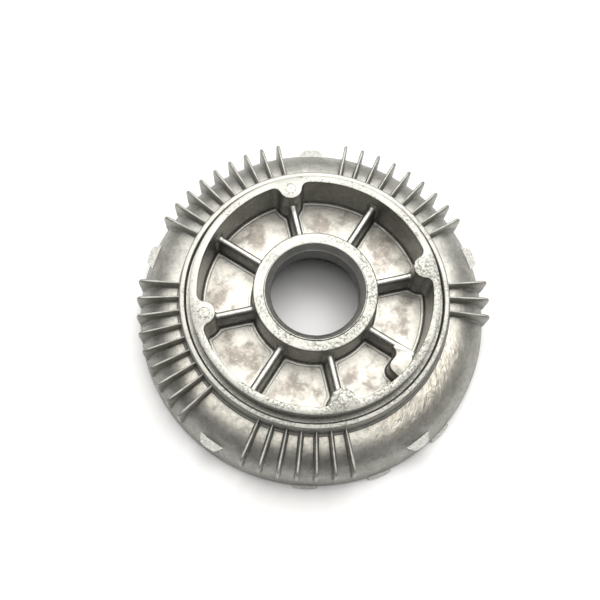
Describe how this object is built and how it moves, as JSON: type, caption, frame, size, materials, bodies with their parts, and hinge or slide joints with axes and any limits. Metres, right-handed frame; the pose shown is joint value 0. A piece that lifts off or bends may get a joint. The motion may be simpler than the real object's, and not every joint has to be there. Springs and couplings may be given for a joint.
{
  "type": "finned end cover",
  "caption": "Round die-cast end cover with a stepped spigot, a ribbed pocket round a bored hub, and cooling fins on its domed rim.",
  "frame": {"origin": "centre of the rim's register at the mounting face", "axes": "+Z out of the cover along the shaft, towards the spigot; one lug on +Y"},
  "size_m": [0.2054, 0.2072, 0.044],
  "materials": {
    "cast_skin": "as-cast, trimmed and tumbled",
    "machined_face": "turned or linished bright, stained in places"
  },
  "bodies": {
    "root": {"hub": "machined_face", "web_floor": "cast_skin", "pocket_wall": "cast_skin", "spigot_ring": "machined_face", "step_ring": "machined_face", "dome_shell": "cast_skin", "base_rim": "cast_skin", "rib_1": "cast_skin", "rib_2": "cast_skin", "rib_3": "cast_skin", "rib_4": "cast_skin", "rib_5": "cast_skin", "rib_6": "cast_skin", "rib_7": "cast_skin", "rib_8": "cast_skin", "ear_1": "machined_face", "ear_2": "machined_face", "ear_3": "machined_face", "ear_4": "machined_face", "corner_pad": "cast_skin", "fins_1": "cast_skin", "fins_2": "cast_skin", "fins_3": "cast_skin", "fins_4": "cast_skin", "fins_5": "cast_skin", "lug_1": "cast_skin", "lug_2": "cast_skin", "lug_3": "cast_skin", "lug_4": "cast_skin", "lug_5": "cast_skin", "rim_tab_1": "cast_skin", "rim_tab_2": "cast_skin", "rim_tab_3": "cast_skin"}
  },
  "joints": []
}
